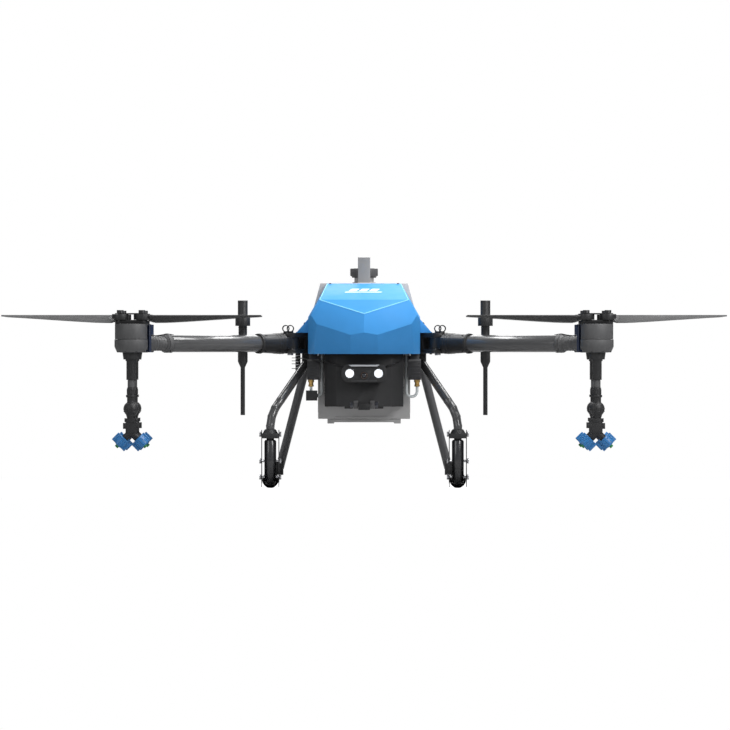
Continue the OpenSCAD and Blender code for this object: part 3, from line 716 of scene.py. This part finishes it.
for k in CORNERS:
    place = arm_place(k)
    reach = arm_reach(k)
    arm_body = "arm_" + k
    axis_z = sum(c.z for c in box_mm("arm_tube_" + k)) / 2
    grip = Shape(place)
    grip.ring((99.2, 0, axis_z), (1, 0, 0), 21.8, 1.5, "rubber_foot")
    grip.ring((95, 0, axis_z), (1, 0, 0), 23.2, 0.7, "black_alloy")
    for x in (34, 42, 50):
        grip.ring((x, 0, axis_z), (1, 0, 0), 24.55 - (x - 25) * 0.043, 0.55, "black_alloy")
    for a in (60, 120, 240, 300):
        c, s = math.cos(math.radians(a)), math.sin(math.radians(a))
        grip.bolt((32, 23.6 * c, axis_z + 23.6 * s), (0, c, s), 2.2, "black_alloy", 1.4)
        grip.bolt((84, 21.6 * c, axis_z + 21.6 * s), (0, c, s), 2.0, "black_alloy", 1.4)
    for s in (-1, 1):
        grip.bolt((378, s * 12.6, axis_z - 16.8), (0, s * 0.6, -0.8), 2.0, "black_alloy", 2.0)
    for x in (372.6, 383.2):
        grip.ring((x, 0, axis_z), (1, 0, 0), 21.3, 0.5, "black_alloy")
    for x in (396, 404, 412, 420):
        grip.ring((x, 0, axis_z), (1, 0, 0), 16.6, 0.45, "grey_alloy")
    grip.tube([(362, 0, axis_z + 20.6), (378, 0, axis_z + 22.6), (392, 0, axis_z + 20.5),
               (412, 0, axis_z + 18.5), (428, 0, axis_z + 19.8),
               (reach - 41, 0, axis_z + 16)], 1.1, "black_plastic")
    # dark blue end block on the arm beside the motor: the part is blue, and its darkness is painted shade
    grip.block((reach - 46, -20, 320), (reach - 38.8, 20, 386), "dark_blue_painted_shade", 1.5)
    grip.done("arm_details_" + k, arm_body, slot="black_alloy")

    motor_axis = upright("motor_bell_" + k)
    motor = Shape(motor_axis)
    for i in range(8):
        a = math.radians(22.5 + 45 * i)
        motor.block((29, -2.2, 321), (34.6, 2.2, 322.6), "black_alloy", 0.3,
                    at=Matrix.Rotation(a, 4, "Z"))
    motor.ring((0, 0, 349.6), (0, 0, 1), 38.55, 0.4, "black_alloy", sides=64)
    motor.ring((0, 0, 333), (0, 0, 1), 38.6, 0.35, "grey_alloy", sides=64)
    motor.lathe([(0, 299), (12.4, 299), (13.2, 301), (13.2, 304)],
                "black_plastic")
    for z in (292, 284, 276, 268):
        motor.ring((0, 0, z), (0, 0, 1), 11, 0.4, "black_plastic")
    motor.lathe([(7.4, 237), (8.2, 237.5), (8.2, 254), (7.4, 254.5)],
                "grey_alloy", sides=32)
    motor.lathe([(9.4, 221), (10.4, 221.5), (10.4, 233), (9.4, 233.5)],
                "black_plastic", flute=(16, 0.06), sides=96)
    motor.ring((0, 0, 181), (0, 0, 1), 17.0, 0.9, "black_plastic", sides=48)
    motor.ring((0, 0, 187), (0, 0, 1), 18.0, 0.5, "black_plastic", sides=48)
    for s in (-1, 1):
        motor.bolt((s * 12, -9.9, 160.5), (0, -1, 0), 1.8, "black_alloy", 0.8)
        motor.bolt((s * 12, 9.9, 160.5), (0, 1, 0), 1.8, "black_alloy", 0.8)
        motor.block((s * 15 - 3, -9.6, 143), (s * 15 + 3, 9.6, 151.5),
                    "black_plastic", 0.6)
    motor.done("motor_details_" + k, arm_body, slot="grey_alloy")

    middle = motor_axis.translation / MM
    repaint("spray_caps_" + k, "green_tip", lambda c: is_tip(c - middle))
    lugs = Shape(motor_axis)
    for s in (-1, 1):
        at = Matrix.Translation((s * CAP_SIDE, 0, CAP_HEIGHT))
        at = at @ Matrix.Rotation(math.radians(s * 135), 4, "Y")
        lugs.lathe([(0, 11.2), (7.5, 11.2), (7.0, 12.3), (0, 12.3)], "blue_caps", at)
        lugs.lathe([(15.8, -11.0), (16.6, -10.4), (16.6, -7.4), (15.8, -6.8)],
                   "blue_caps", at, sides=64)
        for a in range(0, 360, 30):
            if 20 < a % 180 < 160:
                lugs.block((15.4, -1.3, -8), (16.9, 1.3, 9.5), "blue_caps", 0.4,
                           at=at @ Matrix.Rotation(math.radians(a), 4, "Z"))
    lugs.done("cap_ribs_" + k, arm_body, slot="blue_caps")

    rotor = Shape(motor_axis)
    top = box_mm("motor_bell_" + k)[1].z
    for i in range(12):
        a = math.radians(30 * i)
        rotor.block((20, -2.6, top - 0.2), (33, 2.6, top + 0.5), "black_alloy", 0.3,
                    at=Matrix.Rotation(a, 4, "Z"))
    rotor.ring((0, 0, top - 1.6), (0, 0, 1), 37.7, 0.4, "grey_alloy", sides=64)
    rotor.ring((0, 0, 352.6), (0, 0, 1), 37.85, 0.35, "grey_alloy", sides=64)
    hub_top = box_mm("prop_hub_" + k)[1].z
    for s in (-1, 1):
        rotor.lathe([(0, 0), (8.1, 0), (8.1, 5.2), (7.2, 6.2), (4.4, 6.2),
                     (4.0, 4.0), (0, 4.0)], "black_alloy",
                    Matrix.Translation((s * 25.5, 0, hub_top - 6.2)), sides=96, flute=(18, 0.06))
    rotor.done("rotor_details_" + k, "rotor_" + k, slot="black_alloy")
    for blade in ("blade_out_", "blade_in_"):
        repaint(blade + k, "black_plastic", lambda c: (c - middle).xy.length < BLADE_ROOT)

for k in FRONT:
    rear = 1 if k == "fr" else -1
    mast = Shape(Matrix.Translation(arm_place(k) @ (Vector((119, rear * 32, 0)) * MM)))
    mast.lathe([(17.2, 384), (17.6, 384.6), (17.6, 399.4), (17.2, 400)],
               "antenna_plastic", sides=144, flute=(24, 0.05))
    for z in (404, 438):
        mast.ring((0, 0, z), (0, 0, 1), 11.55, 0.5, "antenna_plastic")
    for z in (366, 370, 374, 378):
        mast.ring((0, 0, z), (0, 0, 1), 10, 0.6, "antenna_plastic")
    for z in (302, 308, 314):
        mast.ring((0, 0, z), (0, 0, 1), 11.4, 0.5, "antenna_plastic")
    mast.ring((0, 0, 176), (0, 0, 1), 5.1, 0.4, "antenna_plastic")
    mast.done("antenna_details_" + k, "arm_" + k, slot="antenna_plastic")


# ---- tank, lid and battery ----

tank = Shape()
for s in (-1, 1):
    for y in (-60, -20, 20, 50):
        tank.block((s * 107.9, y - 6, 178),
                   (s * 108.9, y + 6, 300), "tank_plastic", 0.4)
for z in (184, 204, 224, 244, 264, 284):
    for s in (-1, 1):
        tank.block((s * 108.4, 62, z), (s * 109.0, 72, z + 0.9),
                   "white_mark", 0.1)
tank.ring((0, 38, 484), (0, 0, 1), 26, 1.6, "tank_plastic")
for x in (-11, 11):
    for y in (-74, -10):
        tank.bolt((x, y, 483.4), (0, 0, 1), 2.2, "black_alloy", 1.2)
tank.block((-70, -91.4, 166), (70, -89.6, 168), "tank_plastic", 0.5)
tank.done("tank_details", "tank", slot="tank_plastic")

lid = Shape(upright("filler_cap"))
lid.lathe([(32.2, 501), (32.8, 501.6), (32.8, 515.6), (32.2, 516.4)],
          "black_plastic", sides=192, flute=(32, 0.035))
lid.ring((0, 0, 517.6), (0, 0, 1), 24, 0.9, "black_plastic", sides=64)
lid.block((-20, -2.6, 517.4), (20, 2.6, 518.0), "black_plastic", 0.3)
lid.done("lid_grip", "lid", slot="black_plastic")

cell = Shape()
back = box_mm("battery")[1].y
for z in (340, 352, 392, 404):
    cell.block((-94, back - 0.4, z), (94, back + 0.5, z + 3), "battery_case", 0.4)
cell.block((-60, back - 0.4, 362), (60, back + 0.4, 386), "grey_alloy", 0.4)
for x in (-48, -36, -24, -12):
    cell.block((x, back + 0.2, 371), (x + 6, back + 0.8, 377), "pale_white_and_glint", 0.3)
cell.rod((40, back - 0.2, 374), (40, back + 1.0, 374), 6, "black_plastic")
for s in (-1, 1):
    cell.tube([(s * 66, 120, 429), (s * 66, 120, 440), (s * 60, 112, 448),
               (s * 54, 102, 446), (s * 52, 97, 434), (s * 52, 96, 429)],
              3.0, "rubber_foot" if s < 0 else "copper")
cell.done("battery_details", "battery", slot="battery_case")


# ---- landing gear ----

gear = Shape()
for s in (-1, 1):
    x = s * LEG_X
    gear.ring((x, FORK_Y, 112), (0, 0, 1), 11.2, 1.6, "black_plastic")
    gear.ring((x, FORK_Y, 137), (0, 0, 1), 11.6, 1.7, "rubber_foot")
    for y in (-98, -86, -74, -62, -50, 150, 162, 174, 186, 198):
        gear.ring((x, y + 5, 19.25), (0, 1, 0), 18.3, 0.8, "rubber_foot", sides=40)
    gear.ring((x, 232, 19), (0, 1, 0), 13.6, 1.0, "rubber_foot")
    gear.bolt((x + 19.3, FORK_Y, 64), (1, 0, 0), 4.2, "black_alloy", 1.0)
    for y in (172, 194):
        gear.bolt((s * 213, y, 64), (0, 0, 1), 3.0, "black_alloy", 2.4)
    for x0, y0, z0 in ((115, -91, 292), (139, -91, 292), (115, -69, 292), (139, -69, 292)):
        gear.bolt((s * x0, y0, z0), (0, 0, -1), 2.4, "black_alloy", 1.6)
gear.done("gear_details", "airframe", slot="rubber_foot")


# ---- pumps, fittings and modules ----

pump = Shape()
for s in (-1, 1):
    fitting = Matrix.Translation((s * PUMP_X, PUMP_Y, 0))
    pump.lathe([(5.1, 239.2), (6.4, 239.6), (6.4, 243.4), (5.1, 244)], "brass", fitting, sides=6)
    pump.lathe([(5.05, 244), (5.5, 244.4), (5.5, 249), (7.2, 249.6),
                (7.2, 255), (5.0, 255)], "brass", fitting, sides=24)
    for z in (262, 270, 278, 286):
        pump.block((s * 106, -150.9, z), (s * 132, -149.6, z + 3), "pump_plastic", 0.4)
    for x in (108, 130):
        for z in (258.5, 293.5):
            pump.bolt((s * x, -149.9, z), (0, -1, 0), 1.7, "black_alloy", 0.8)
    pump.block((s * 104.4, -149, 298.4), (s * 133.6, -147, 303.6),
               "grey_alloy", 0.6)
    pump.tube([(s * 118, -106, 288), (s * 118, -98, 296), (s * 116, -100, 306),
               (s * 112, -104, 314), (s * 110, -106, 317)], 1.6, "black_plastic")
pump.block((-135, -143, 210), (-112, -141.6, 226), "black_plastic", 0.6)
pump.rod((-111, PUMP_Y, 218), (-108.4, PUMP_Y, 218), 4.6, "black_plastic")
for x in (-133, -114):
    for z in (209, 227):
        pump.bolt((x, -141.9, z), (0, -1, 0), 1.4, "black_alloy", 0.8)
for z in (283, 290, 297, 304, 311):
    pump.block((-161.8, -40.8, z), (-150.2, -39.8, z + 2.4), "steel", 0.3)
pump.tube([(-156, -38, 300), (-160, -60, 303), (-146, -100, 306),
           (-120, -152, 301), (-98, -158, 298), (-72, -178, 294)],
          1.3, "black_plastic")
pump.done("pump_details", "airframe", slot="pump_plastic")
